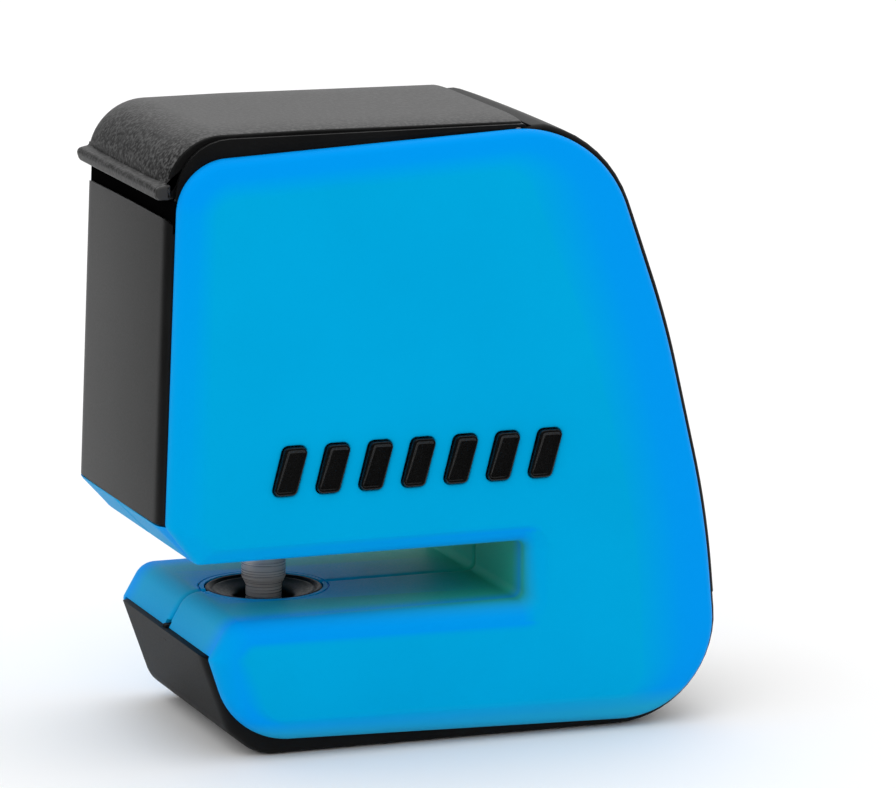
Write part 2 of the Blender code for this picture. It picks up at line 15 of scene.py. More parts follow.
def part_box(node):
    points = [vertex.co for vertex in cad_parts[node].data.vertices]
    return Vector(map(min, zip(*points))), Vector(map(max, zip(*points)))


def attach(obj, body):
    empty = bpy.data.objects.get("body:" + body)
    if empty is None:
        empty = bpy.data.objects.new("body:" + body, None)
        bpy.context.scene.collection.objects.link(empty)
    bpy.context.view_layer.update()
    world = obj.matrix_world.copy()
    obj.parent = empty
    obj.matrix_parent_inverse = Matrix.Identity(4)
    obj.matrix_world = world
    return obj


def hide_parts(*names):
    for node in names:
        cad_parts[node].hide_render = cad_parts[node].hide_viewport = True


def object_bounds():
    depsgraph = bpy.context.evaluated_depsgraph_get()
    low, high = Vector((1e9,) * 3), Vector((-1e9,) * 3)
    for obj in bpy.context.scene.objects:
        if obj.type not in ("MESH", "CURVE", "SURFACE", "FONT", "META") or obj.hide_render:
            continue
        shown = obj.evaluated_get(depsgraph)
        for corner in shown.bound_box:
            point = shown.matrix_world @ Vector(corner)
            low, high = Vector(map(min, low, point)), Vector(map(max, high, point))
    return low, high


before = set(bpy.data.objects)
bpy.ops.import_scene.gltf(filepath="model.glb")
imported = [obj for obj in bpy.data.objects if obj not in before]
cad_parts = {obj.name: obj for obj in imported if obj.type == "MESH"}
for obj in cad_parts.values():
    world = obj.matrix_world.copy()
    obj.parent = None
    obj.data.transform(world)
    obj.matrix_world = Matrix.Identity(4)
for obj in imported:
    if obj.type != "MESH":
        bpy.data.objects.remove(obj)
cad_low, cad_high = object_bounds()

MM = 0.001
PIN_TIP_Z = -2.4
pin_low, pin_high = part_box("lock_pin")
DATUM = Vector(((pin_low.x + pin_high.x) / 2, (pin_low.y + pin_high.y) / 2, pin_low.z - PIN_TIP_Z * MM))

# The slot
SLOT_HEIGHT = 7.4
SLOT_END = 27.9
LINER = 1.4  # how thick the lining is
SEAM = 0.2  # from the middle to each half of the lining

# Half widths of the cheeks' flats, of their outer edges and of their backs
CHEEK_Y = 19.5
CHEEK_EDGE_Y = 17.2
CHEEK_INNER_Y = 16.9

# The black covers
BAND_Y = 16.6
BAND = 1.8  # how thick they are
TRIM_EDGE = 0.1
FILLER_Y = 16.2  # beyond it the spine cover has no relief for the hinge

# The pin, and the hole and the groove round it
PIN_R = 2.75
PIN_NOSE_R = 2.25
RING_R = 7.45
GROOVE_R = 8.1
GROOVE = 0.1
GROOVE_DEPTH = 0.22

# The flap
HINGE = Vector((27.2, 58.2))
SWEEP_R = 1.85
FLAP_Y = 15.75
FLAP_EDGE = 0.25
FLAP_END_X = 28.35  # the crown has run out here
LIP_X = -17.1  # the lip's ends lie on this side of it

# The cheek's corners, clockwise: x, z, radius of the outer edge; the same for the border of its flat;
# the radius of the rolled edge; the steps of the arcs
CHEEK = [
    (-18.2, 12.2, 1.5, -13.95, 11.3, 1.6, 1.15, 8),
    (-16.4, 56.6, 6.6, -12.6, 52.4, 2.8, 1.15, 18),
    (37.4, 59.05, 15.0, 27.2, 54.5, 4.5, 1.15, 26),
    (46.3, 33.5, 110.0, 36.0, 32.5, 110.0, 1.15, 10),
    (52.0, 9.0, 110.0, 42.5, 9.0, 110.0, 1.15, 10),
    (54.3, -16.7, 12.0, 43.6, -13.1, 3.5, 1.15, 22),
    (-9.4, -15.0, 9.5, -5.9, -12.3, 3.5, 1.5, 14),
    (-12.85, -4.5, 0.8, -8.95, -4.4, 0.8, 2.0, 6),
    (-10.25, 0.0, 2.9, -8.1, -2.95, 1.4, 2.25, 10),
    (SLOT_END, 0.0, 1.0, 30.3, -3.3, 3.0, 2.25, 10),
    (SLOT_END, SLOT_HEIGHT, 1.0, 30.6, 9.7, 3.0, 1.3, 10),
    (-14.5, SLOT_HEIGHT, 1.2, -12.7, 9.6, 1.4, 0.7, 8),
]
JAW_CORNER = 7  # the row of the lower jaw's tip; row 0 is the lip of the mouth
MOUTH_X = -10.0  # the slopes of the mouth lie on this side of it
ROLL_STEPS = 8
TURN_STEPS = 96
LIP_BULGE = 0.8  # how far the lip of the mouth swells out at the middle of its width
SLOPE_SHARES = (0.2, 0.4, 0.6, 0.75, 0.86, 0.94, 1.0)

BARS = 7
BAR_PITCH = 5.5
BAR_WIDTH = 3.0
BAR_SLANT = 1.6
BAR_X = -3.2
BAR_Z = (15.7, 21.6)
BAR_RADIUS = 0.7
BAR_FACE_Y = 20.1

SHEEN_BLUE = (0.0, 0.45, 0.9)
# Painted light and shade on the cheeks: a deeper blue painted on their rolled edges, and a green painted as
# shade inside the slot and along the bottom
PAINTED_EDGE_BLUE = (0.0, 0.29, 0.80)
PAINTED_SHADE_GREEN = (0.03, 0.42, 0.32)

LENS = 252.1
SENSOR = 36.0
CAMERA_AIM = (24.35, 0.0, 22.65)
CAMERA_DISTANCE = 783.8
CAMERA_AZIMUTH = 20.37
CAMERA_ELEVATION = 11.39
CAMERA_ROLL = 0.25

FLOOR_HALF = 4.0  # m
LAMP_AIM = Vector((0.0, 0.0, 0.035))  # m


# ---------------------------------------------------------------- outlines in the x-z plane


def direction(a, b):
    return (Vector(b[:2]) - Vector(a[:2])).normalized()


def rounded(corners, is_open=False):
    """Points of an outline whose corners x, z, radius, steps become arcs. An open one keeps its ends."""
    points = []
    for i, corner in enumerate(corners):
        if is_open and i in (0, len(corners) - 1):
            points.append(Vector(corner[:2]))
            continue
        u = direction(corners[i - 1], corner)
        v = direction(corner, corners[(i + 1) % len(corners)])
        angle = u.angle_signed(v)
        radius = corner[2]
        steps = corner[3] if len(corner) > 3 else max(4, math.ceil(math.degrees(abs(angle)) / 7))
        start = Vector(corner[:2]) - u * radius * math.tan(abs(angle) / 2)
        centre = start + Vector((-u.y, u.x)) * (-radius if angle > 0 else radius)
        for k in range(steps + 1):
            points.append(centre + Matrix.Rotation(-angle * k / steps, 2) @ (start - centre))
    return points


def normals(points, is_open=False):
    """The outward normals of a clockwise outline, stretched at corners so that an offset keeps its width."""
    made = []
    for i, point in enumerate(points):
        before = points[i - 1]
        after = points[(i + 1) % len(points)]
        if is_open and i == 0:
            before = point * 2 - after
        if is_open and i == len(points) - 1:
            after = point * 2 - before
        u = direction(before, point)
        v = direction(point, after)
        across = (u + v).normalized()
        stretch = 1 / max(across.dot(u), 0.7)
        made.append(Vector((-across.y, across.x)) * stretch)
    return made


def offset(points, distance, is_open=False):
    return [p + n * distance for p, n in zip(points, normals(points, is_open))]


def inset_corners(corners, width):
    """The corners of a clockwise outline moved inwards by a width, with the arcs' steps kept."""
    moved = []
    for i, (x, z, radius, steps) in enumerate(corners):
        u = direction(corners[i - 1], (x, z))
        v = direction((x, z), corners[(i + 1) % len(corners)])
        out = Vector((-u.y - v.y, u.x + v.x)) / (1 + u.dot(v))
        grown = radius - width if u.cross(v) < 0 else radius + width
        moved.append((x - out.x * width, z - out.y * width, max(grown, 0.25), steps))
    return moved


def split_long(points, longest):
    """An open outline with its long straight runs cut into steps."""
    made = [points[0]]
    for a, b in zip(points, points[1:]):
        count = max(1, math.ceil((b - a).length / longest))
        made.extend(a.lerp(b, k / count) for k in range(1, count + 1))
    return made


def arc(centre, radius, start, end, steps):
    """Points of an arc, angles in degrees from +X."""
    angles = [math.radians(start + (end - start) * k / steps) for k in range(steps + 1)]
    return [Vector((centre[0] + radius * math.cos(a), centre[1] + radius * math.sin(a))) for a in angles]


# ---------------------------------------------------------------- meshes


def at(x, y, z):
    """A point in the frame's metres, from millimetres off the datum."""
    return DATUM + Vector((x, y, z)) * MM


def piece(name, bm, body, material, stands_for=(), sharp=40.0):
    bmesh.ops.remove_doubles(bm, verts=bm.verts, dist=1e-7)
    bmesh.ops.recalc_face_normals(bm, faces=bm.faces)
    mesh = bpy.data.meshes.new(name)
    bm.to_mesh(mesh)
    bm.free()
    mesh.shade_smooth()
    mesh.set_sharp_from_angle(angle=math.radians(sharp))
    mesh.materials.append(material)
    obj = bpy.data.objects.new(name, mesh)
    bpy.context.scene.collection.objects.link(obj)
    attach(obj, body)
    if stands_for:
        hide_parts(*stands_for)
    return obj


def strip(bm, low, high, is_open=False):
    """Quads between two rows of vertices."""
    count = len(low)
    for i in range(count - 1 if is_open else count):
        j = (i + 1) % count
        corners = list(dict.fromkeys((low[i], low[j], high[j], high[i])))
        if len(corners) > 2:
            bm.faces.new(corners)


def row(bm, points):
    return [bm.verts.new(at(*p)) for p in points]


def lofted(loops, bm=None):
    """A closed body through loops of 3D points that all have as many points."""
    bm = bm or bmesh.new()
    rows = [row(bm, loop) for loop in loops]
    for low, high in zip(rows, rows[1:]):
        strip(bm, low, high)
    bm.faces.new(rows[0])
    bm.faces.new(rows[-1])
    return bm


def across(half, edge, stations):
    """y and inset of each station across the width, closer together towards the rounded edges."""
    turn = [math.pi / 2 * k / 5 for k in range(6)]
    ends = [(half - edge * (1 - math.sin(a)), edge * (1 - math.cos(a))) for a in turn]
    flat = half - edge
    inner = [(flat * (1 - (1 - k / stations) ** 2), 0.0) for k in range(stations)]
    right = inner + ends
    return [(-y, inset) for y, inset in reversed(right)] + right[1:]


def ramp(value, start, width):
    """0 up to start, then rising evenly to 1 over the width."""
    return min(max((value - start) / width, 0.0), 1.0)


def shoulder(y, half, reach):
    """1 across the middle, falling as a quarter ellipse to 0 over the last reach before the edge."""
    beyond = min(max(abs(y) - half + reach, 0.0) / reach, 1.0)
    return math.sqrt(1 - beyond**2)


def crown(y, half):
    """1 in the middle, falling as a parabola to 0 at the edge."""
    return 1 - (min(abs(y), half) / half) ** 2


def level_at(y):
    """No bulge, for pieces that are flat across."""
    return 0.0


def swept(outline, rises, half, edge, bulge, stations=14, bm=None, outward=None):
    """An outline swept across the width, with rounded edges. Each point rises by its rise times bulge(y)."""
    outward = outward or normals(outline)
    loops = []
    for y, inset in across(half, edge, stations):
        loop = []
        for point, normal, rise in zip(outline, outward, rises):
            moved = point + normal * (rise * bulge(y) - inset)
            loop.append((moved.x, y, moved.y))
        loops.append(loop)
    return lofted(loops, bm)


def turned(profile):
    """A closed profile of (radius, z) turned about the pin's axis."""
    bm = bmesh.new()
    rings = []
    for radius, z in profile:
        if radius == 0:
            rings.append([bm.verts.new(at(0, 0, z))] * TURN_STEPS)
            continue
        angles = [2 * math.pi * k / TURN_STEPS for k in range(TURN_STEPS)]
        rings.append(row(bm, [(radius * math.cos(a), radius * math.sin(a), z) for a in angles]))
    for low, high in zip(rings, rings[1:] + rings[:1]):
        strip(bm, low, high)
    return bm


def subtract(obj, bm, name):
    """Cuts the closed mesh bm out of obj, and applies the cut."""
    bmesh.ops.recalc_face_normals(bm, faces=bm.faces)
    mesh = bpy.data.meshes.new(name)
    bm.to_mesh(mesh)
    bm.free()
    tool = bpy.data.objects.new(name, mesh)
    bpy.context.scene.collection.objects.link(tool)
    cut = obj.modifiers.new("cut", "BOOLEAN")
    cut.operation = "DIFFERENCE"
    cut.solver = "EXACT"
    cut.object = tool
    graph = bpy.context.evaluated_depsgraph_get()
    result = bpy.data.meshes.new_from_object(obj.evaluated_get(graph))
    obj.modifiers.clear()
    obj.data = result
    result.shade_smooth()
    result.set_sharp_from_angle(angle=math.radians(40))
    bpy.data.objects.remove(tool)


def round_cutter(radius, z0, z1):
    return turned([(0.0, z0), (radius, z0), (radius, z1), (0.0, z1)])


def box_cutter(x, y, z):
    corners = [(x[0], y[0]), (x[1], y[0]), (x[1], y[1]), (x[0], y[1])]
    return lofted([[(c[0], c[1], height) for c in corners] for height in z])


# ---------------------------------------------------------------- materials


def node(tree, kind, **values):
    made = tree.nodes.new(kind)
    for name, value in values.items():
        setattr(made, name, value)
    return made


def noise(tree, coords, scale, detail=2.0):
    made = node(tree, "ShaderNodeTexNoise")
    made.inputs["Scale"].default_value = scale
    made.inputs["Detail"].default_value = detail
    tree.links.new(coords, made.inputs["Vector"])
    return made.outputs["Fac"]


def mapped(tree, source, low, high, start=0.3, end=0.7):
    made = node(tree, "ShaderNodeMapRange")
    made.inputs["From Min"].default_value = start
    made.inputs["From Max"].default_value = end
    made.inputs["To Min"].default_value = low
    made.inputs["To Max"].default_value = high
    tree.links.new(source, made.inputs["Value"])
    return made.outputs["Result"]


def mixed(tree, factor, first, second):
    """A colour between two, each an RGB triple or another node's output."""
    made = node(tree, "ShaderNodeMix", data_type="RGBA")
    tree.links.new(factor, made.inputs["Factor"])
    for socket, value in ((made.inputs[6], first), (made.inputs[7], second)):
        if isinstance(value, tuple):
            socket.default_value = (*value, 1.0)
        else:
            tree.links.new(value, socket)
    return made.outputs[2]


def surface(
    name, dark, light, roughness, grain, bump,
    level=0.5, metallic=0.0, stretch=(1, 1, 1), spread=0.08, patch=70.0, speckle=None,
):
    """A finish whose colour drifts between two over patches, with a grain in its roughness and its bump.

    grain is in repeats per metre, bump the grain's height in millimetres, level the specular level.
    """
    made = bpy.data.materials.new(name)
    made.use_nodes = True
    tree = made.node_tree
    shader = tree.nodes["Principled BSDF"]
    shader.inputs["Metallic"].default_value = metallic
    shader.inputs["Specular IOR Level"].default_value = level
    place = node(tree, "ShaderNodeTexCoord").outputs["Object"]
    mapping = node(tree, "ShaderNodeMapping")
    mapping.inputs["Scale"].default_value = stretch
    tree.links.new(place, mapping.inputs["Vector"])
    fine = noise(tree, mapping.outputs["Vector"], grain)
    drift = noise(tree, place, patch, detail=3.0)
    colour = mixed(tree, mapped(tree, drift, 0.0, 1.0), dark, light)
    if speckle:
        colour = mixed(tree, mapped(tree, fine, 0.0, 1.0, 0.4, 0.66), colour, speckle)
    tree.links.new(colour, shader.inputs["Base Color"])
    tree.links.new(mapped(tree, fine, roughness - spread, roughness + spread), shader.inputs["Roughness"])
    height = node(tree, "ShaderNodeBump")
    height.inputs["Distance"].default_value = bump * MM
    height.inputs["Strength"].default_value = 1.0
    tree.links.new(fine, height.inputs["Height"])
    tree.links.new(height.outputs["Normal"], shader.inputs["Normal"])
    return made


def soft_touch_blue():
    """The cheeks' blue: a deeper blue painted by the share in "rim" near their edges, for the light on the
    rolled edges, and a green painted as shade by the other share, in the slot and along the bottom.
    """
    made = surface(
        "soft_touch_blue", (0.0, 0.34, 0.65), (0.0, 0.36, 0.68), 0.5, 5200.0, 0.006, level=0.04, patch=45.0
    )
    tree = made.node_tree
    shader = tree.nodes["Principled BSDF"]
    shader.inputs["Specular Tint"].default_value = (*SHEEN_BLUE, 1.0)
    colour = shader.inputs["Base Color"].links[0].from_socket
    for name, tint in (("rim", PAINTED_EDGE_BLUE), ("painted_shade", PAINTED_SHADE_GREEN)):
        share = node(tree, "ShaderNodeAttribute", attribute_name=name)
        colour = mixed(tree, share.outputs["Fac"], colour, tint)
    tree.links.new(colour, shader.inputs["Base Color"])
    return made


def grey(value):
    return (value, value, value)


def finishes():
    return {
        "blue": soft_touch_blue(),
        "flap": surface(
            "grained_black", grey(0.003), grey(0.006), 0.52, 2300.0, 0.06, level=0.45, speckle=grey(0.085)
        ),
        "lip": surface("lip_black", grey(0.030), grey(0.042), 0.5, 3000.0, 0.01, level=0.2),
        "deck": surface("deck_black", grey(0.004), grey(0.008), 0.4, 3000.0, 0.02, level=0.2),
        "panel": surface(
            "moulded_black", grey(0.007), grey(0.010), 0.44, 5200.0, 0.004, level=0.36, spread=0.03
        ),
        "base": surface("base_black", grey(0.006), grey(0.009), 0.5, 5200.0, 0.004, level=0.06, spread=0.03),
        # A black without reflections, painting the shadow in the finger gap
        "recess": surface("recess_black", grey(0.001), grey(0.002), 0.9, 3000.0, 0.02, level=0.0),
        "spine": surface(
            "smooth_black", grey(0.006), grey(0.009), 0.42, 5200.0, 0.003, level=0.04, spread=0.03
        ),
        "bars": surface(
            "gloss_black", grey(0.003), grey(0.005), 0.25, 3000.0, 0.004, level=0.3, spread=0.05
        ),
        "ring": surface("ring_black", grey(0.004), grey(0.008), 0.42, 3000.0, 0.012, level=0.07),
        "rubber": surface("seal_rubber", grey(0.008), grey(0.014), 0.7, 2600.0, 0.03),
        "pin": surface(
            "turned_steel", (0.46, 0.42, 0.40), (0.56, 0.52, 0.50), 0.3, 6500.0, 0.0003,
            metallic=0.5, stretch=(0.01, 0.01, 1.0), spread=0.08, patch=260.0, speckle=(0.66, 0.62, 0.59),
        ),
        "steel": surface(
            "bright_steel", (0.46, 0.46, 0.48), (0.58, 0.58, 0.60), 0.32, 2200.0, 0.002,
            metallic=1.0, stretch=(1.0, 1.0, 0.15), spread=0.05,
        ),
        "brass": surface(
            "cylinder_brass", (0.56, 0.40, 0.15), (0.68, 0.50, 0.21), 0.34, 2400.0, 0.01,
            metallic=1.0, stretch=(1.0, 1.0, 0.2), spread=0.1,
        ),
        "core": surface(
            "cast_core", (0.22, 0.22, 0.23), (0.32, 0.32, 0.33), 0.55, 1400.0, 0.05,
            metallic=1.0, spread=0.12,
        ),
    }


# ---------------------------------------------------------------- the two shells


def bar_outline(index, grow):
    x = BAR_X + index * BAR_PITCH
    half = BAR_WIDTH / 2 + grow
    lean = BAR_SLANT / 2
    low, high = BAR_Z[0] - grow, BAR_Z[1] + grow
    radius = max(BAR_RADIUS + grow, 0.25)
    return rounded(
        [
            (x - half - lean, low, radius, 6),
            (x - half + lean, high, radius, 6),
            (x + half + lean, high, radius, 6),
            (x + half - lean, low, radius, 6),
        ]
    )


def inside(point, polygon):
    """Whether a 2D point is inside a polygon."""
    odd = False
    for a, b in zip(polygon, polygon[1:] + polygon[:1]):
        if (a.y > point.y) != (b.y > point.y):
            if point.x < (b.x - a.x) * (point.y - a.y) / (b.y - a.y) + a.x:
                odd = not odd
    return odd


def fill_plane(bm, border, holes):
    """Triangles over a plane region. border and holes are pairs of 2D points and their vertices."""
    points, vertices, edges = [], [], []
    for flat, verts in [border, *holes]:
        first = len(points)
        points.extend(flat)
        vertices.extend(verts)
        edges.extend((first + i, first + (i + 1) % len(flat)) for i in range(len(flat)))
    made = delaunay_2d_cdt(points, edges, [], 0, 1e-6)
    for face in made[2]:
        centre = sum((made[0][i] for i in face), Vector((0.0, 0.0))) / 3
        if not inside(centre, border[0]) or any(inside(centre, flat) for flat, _ in holes):
            continue
        corners = [vertices[made[3][i][0]] for i in face]
        if bm.faces.get(corners) is None:
            bm.faces.new(corners)


def cheek_shell(side, finish):
    """One shell: a cheek with a rolled edge and a sloping rim, and its half of the lining.

    It is open where the bars stand. side is -1 for the front one and 1 for the rear one.
    """
    bm = bmesh.new()
    # Vertex shares of painted light and shade: a deeper blue on the rolled edges, and green shade in the
    # slot and along the bottom
    rim = bm.verts.layers.float.new("rim")
    painted_shade = bm.verts.layers.float.new("painted_shade")
    corners = [(x, z, radius, steps) for x, z, radius, *_, steps in CHEEK]
    edge = rounded(corners)
    border = rounded([(x, z, radius, steps) for *_, x, z, radius, _, steps in CHEEK])
    rolls = [roll for *_, roll, steps in CHEEK for _ in range(steps + 1)]
    count = len(edge)

    def ring(places, colour, lining=False):
        """A row of vertices with the edge's share of painted light, and green painted shade towards the
        lining's inside.
        """
        made = row(bm, places)
        for vertex, (x, y, _) in zip(made, places):
            vertex[rim] = colour
            if lining:
                vertex[painted_shade] = ramp(CHEEK_INNER_Y - abs(y), 0.0, 3.0) * max(ramp(x, -16.0, 12.0), 0.3)
        return made

    def height(distance, width, roll):
        """y at a distance in from the outer edge: the roll, then the slope, eased into the flat."""
        rolled = roll - math.sqrt(max(roll**2 - max(roll - distance, 0.0) ** 2, 0.0))
        full = CHEEK_Y - CHEEK_EDGE_Y - roll
        slope = 1 - min(distance / width, 1.0)
        return CHEEK_Y - rolled - full * (slope if slope > 0.06 else slope**2 / 0.12 + 0.03)

    def level(distances, colour):
        """A row of the edge and slope: its painted edge light plainer by the mouth and the slot's end, green
        painted shade underneath.
        """
        places = []
        for a, b, d, roll in zip(edge, border, distances, rolls):
            width = (b - a).length
            point = a.lerp(b, d / width)
            places.append((point.x, side * height(d, width, roll), point.y))
        made = ring(places, colour)
        for vertex, (x, _, z) in zip(made, places):
            # Painted edge light: fainter by the mouth and by the slot's end
            vertex[rim] *= max(ramp(x, -16.0, 8.0), ramp(z, 44.0, 8.0), 0.25)
            if x < 40.0 and -2.5 < z < SLOT_HEIGHT + 1.5:
                vertex[rim] *= 1.0 - 0.9 * ramp(x - SLOT_END, -1.0, 2.0)
            # Painted shade: greener towards the bottom
            vertex[painted_shade] = 0.45 * ramp(-z, 12.5, 2.2)
        return made

    def shade_slot(made, share):
        """Carries the lining's green painted shade over the edges that run round the slot."""
        for vertex, point in zip(made, edge):
            if -9.0 < point.x < SLOT_END + 0.1 and -0.1 < point.y < SLOT_HEIGHT + 0.1:
                vertex[painted_shade] = share * max(ramp(point.x, -9.0, 16.0), 0.1)
        return made

    rows = [shade_slot(ring([(p.x, side * CHEEK_INNER_Y, p.y) for p in edge], 1.0), 0.9)]
    for k in range(ROLL_STEPS + 1):
        turn = math.pi / 2 * k / ROLL_STEPS
        made = level([roll * (1 - math.cos(turn)) for roll in rolls], 1.0)
        rows.append(shade_slot(made, 0.85 * (1 - k / ROLL_STEPS) ** 2))
    # The painted edge light fades out across the slope, towards the flat
    for share in SLOPE_SHARES:
        distances = [roll + ((b - a).length - roll) * share for a, b, roll in zip(edge, border, rolls)]
        rows.append(level(distances, 1.0 - 0.85 * max(share - 0.35, 0.0) / 0.65))
    support = offset(border, -0.5)
    rows.append(ring([(p.x, side * CHEEK_Y, p.y) for p in support], 0.0))
    for low, high in zip(rows, rows[1:]):
        strip(bm, low, high)

    front_holes, back_holes = [], []
    window = [(0.6, CHEEK_Y), (0.33, CHEEK_Y), (0.24, CHEEK_Y - 0.03), (0.17, CHEEK_Y - 0.1)]
    window += [(0.15, CHEEK_Y - 0.2), (0.15, CHEEK_INNER_Y)]
    for index in range(BARS):
        loops = []
        for grow, depth in window:
            flat = bar_outline(index, grow)
            loops.append((flat, ring([(p.x, side * depth, p.y) for p in flat], 0.0)))
        for low, high in zip(loops, loops[1:]):
            strip(bm, low[1], high[1])
        front_holes.append(loops[0])
        back_holes.append(loops[-1])
    fill_plane(bm, (support, rows[-1]), front_holes)

    # The lining runs from the tip of the lower jaw round the slot to the lip of the mouth.
    jaw_tip = sum(steps + 1 for *_, steps in CHEEK[: JAW_CORNER + 1]) - 1
    lining = [k % count for k in range(jaw_tip, count + CHEEK[0][-1] // 2 + 1)]
    back = rounded(inset_corners(corners, LINER))
    for k in lining:
        if back[k].x < MOUTH_X and back[k].y < 0:
            back[k].y = max(back[k].y, -4.3)
        back[k].y = min(back[k].y, 12.1)
    levels = [(0.0, y) for y in (15.9, 14.9, 13.4, 11.0, 8.0, 4.5, 1.5, 0.75)]
    levels += [(0.03, 0.55), (0.12, 0.38), (0.26, 0.26), (0.45, SEAM)]
    rows_of_lining = [[rows[0][k] for k in lining]]
    for inset, y in levels:
        inner = rounded(inset_corners(corners, inset))
        places = []
        for k in lining:
            x, z = inner[k]
            lip = ramp(z, SLOT_HEIGHT, 4.5) if x < MOUTH_X else 0.0
            places.append((x - LIP_BULGE * lip * shoulder(y, CHEEK_INNER_Y, 2.4), side * y, z))
        rows_of_lining.append(ring(places, 1.0, lining=True))
    for y in (SEAM, CHEEK_INNER_Y):
        rows_of_lining.append(ring([(back[k].x, side * y, back[k].y) for k in lining], 1.0))
    for low, high in zip(rows_of_lining, rows_of_lining[1:]):
        strip(bm, low, high, is_open=True)
    for end in (0, -1):
        bm.faces.new([line[end] for line in rows_of_lining])
    plain = [k for k in range(count) if k not in lining]
    # The back's border is the cheek's own edge where it is bare, and the lining's back elsewhere.
    start = lining[-1]
    flat, verts = [edge[start]], [rows[0][start]]
    for step in range(1, count):
        k = (start + step) % count
        if k in plain:
            flat.append(edge[k])
            verts.append(rows[0][k])
    flat.append(edge[lining[0]])
    verts.append(rows[0][lining[0]])
    flat.extend(back[k] for k in lining)
    verts.extend(rows_of_lining[-1])
    fill_plane(bm, (flat, verts), back_holes)

    name = "front" if side < 0 else "rear"
    obj = piece(f"{name}_cheek", bm, "lock_body", finish, [f"{name}_shell"], sharp=48.0)
    subtract(obj, round_cutter(RING_R, -3.0, 0.5), "ring_hole")
    groove = [
        (GROOVE_R - GROOVE, -GROOVE_DEPTH), (GROOVE_R + GROOVE, -GROOVE_DEPTH), (GROOVE_R + 0.16, 0.3),
        (GROOVE_R - 0.16, 0.3),
    ]
    subtract(obj, turned(groove), "ring_groove")
    subtract(obj, round_cutter(PIN_R + 0.9, SLOT_HEIGHT - 0.5, 10.0), "pin_hole")
    subtract(obj, box_cutter((-15.0, -11.2), (-0.95, 0.95), (-6.0, -3.5)), "tab_notch")
    return obj


def grip_bars(side, finish):
    """Slanted bars with a thin raised rim, standing in the cheek's windows on a backing plate."""
    bm = bmesh.new()
    plate = rounded([(-7.2, 14.6, 1.0), (-7.2, 22.7, 1.0), (33.4, 22.7, 1.0), (33.4, 14.6, 1.0)])
    lofted([[(p.x, side * y, p.y) for p in plate] for y in (15.2, BAND_Y)], bm)
    steps = [
        (0.0, BAND_Y - 0.3), (0.0, BAR_FACE_Y - 0.26), (-0.03, BAR_FACE_Y - 0.12),
        (-0.12, BAR_FACE_Y - 0.03), (-0.24, BAR_FACE_Y), (-0.36, BAR_FACE_Y - 0.02),
        (-0.46, BAR_FACE_Y - 0.12), (-0.56, BAR_FACE_Y - 0.2), (-0.7, BAR_FACE_Y - 0.22),
    ]
    for index in range(BARS):
        lofted([[(p.x, side * y, p.y) for p in bar_outline(index, grow)] for grow, y in steps], bm)
    name = "front_grip_bars" if side < 0 else "rear_grip_bars"
    return piece(f"{name}_fine", bm, "lock_body", finish, [name])


# ---------------------------------------------------------------- the black trim


def banded(path, rise):
    """The closed outline of a cover along an open path, and its points' rises, which are 0 on the inside."""
    path = split_long(path, 2.5)
    inner = offset(path, -BAND, is_open=True)
    return path + inner[::-1], [rise] * len(path) + [0.0] * len(inner)


def end_panel(finish):
    """The crowned cover on the end of the upper body."""
    path = rounded([(-18.2, 12.4), (-16.85, 48.85)], is_open=True)
    outline, rises = banded(path, 1.0)
    outward = normals(outline)
    outward[0] = outward[1]  # keeps the bottom edge straight

    def bulge(y):
        return 0.68 * shoulder(y, BAND_Y, 2.0) + 0.25 * crown(y, BAND_Y)

    bm = swept(outline, rises, BAND_Y, TRIM_EDGE, bulge, stations=18, outward=outward)
    return piece("end_cover", bm, "lock_body", finish, ["end_panel"])


def recess_wall(finish):
    """The wall behind the finger gap, between the end cover and the flap's lip, in a black without
    reflections that paints the gap's shadow.
    """
    outline = rounded([(-17.0, 47.9, 0.1), (-16.88, 51.85, 0.3), (-16.0, 51.85, 0.2), (-16.1, 47.9, 0.1)])
    bm = swept(outline, [0.0] * len(outline), BAND_Y, TRIM_EDGE, level_at, stations=3)
    return piece("recess_wall", bm, "lock_body", finish)


def spine_cover(finish):
    """The spine's crowned band. Its end by the flap is hollowed round the hinge, for the flap to turn."""
    path = rounded(
        [(20.0, 58.25), (37.4, 59.05, 15.0), (46.3, 33.5, 110.0, 12), (52.0, 9.0, 110.0, 12), (52.95, -1.4)],
        is_open=True,
    )
    path = [p for p in split_long(path, 1.5) if p.x > HINGE.x + 2.6]
    outward = normals(path, is_open=True)
    inner = [p - n * BAND for p, n in zip(path, outward)]
    loops = []
    for y, inset in across(BAND_Y, TRIM_EDGE, 18):
        bulge = 0.85 * shoulder(y, BAND_Y, 1.0) + 0.15 * crown(y, BAND_Y)
        outer = []
        for i, (p, n) in enumerate(zip(path, outward)):
            rise = 0.85 + 0.3 * min(3 * i / (len(path) - 1), 1.0)
            outer.append(p + n * (rise * bulge - inset))
        top = outer[0].y - 0.05
        reach = SWEEP_R + inset
        start = HINGE.x + math.sqrt(reach**2 - (top - HINGE.y) ** 2)
        angle = math.degrees(math.asin((top - HINGE.y) / reach))
        relief = arc(HINGE, reach, -30.0, angle - 4.0, 10)
        if abs(y) > FILLER_Y:
            start = HINGE.x + 0.5
            foot = relief[0].y
            relief = [Vector((start, foot + (top - 0.1 - foot) * k / 10)) for k in range(11)]
        outline = relief + [Vector((start + 0.08, top))] + outer
        outline += [p + n * inset for p, n in zip(inner, outward)][::-1]
        loops.append([(p.x, y, p.y) for p in outline])
    return piece("spine_cover", lofted(loops), "lock_body", finish, ["spine_band"])


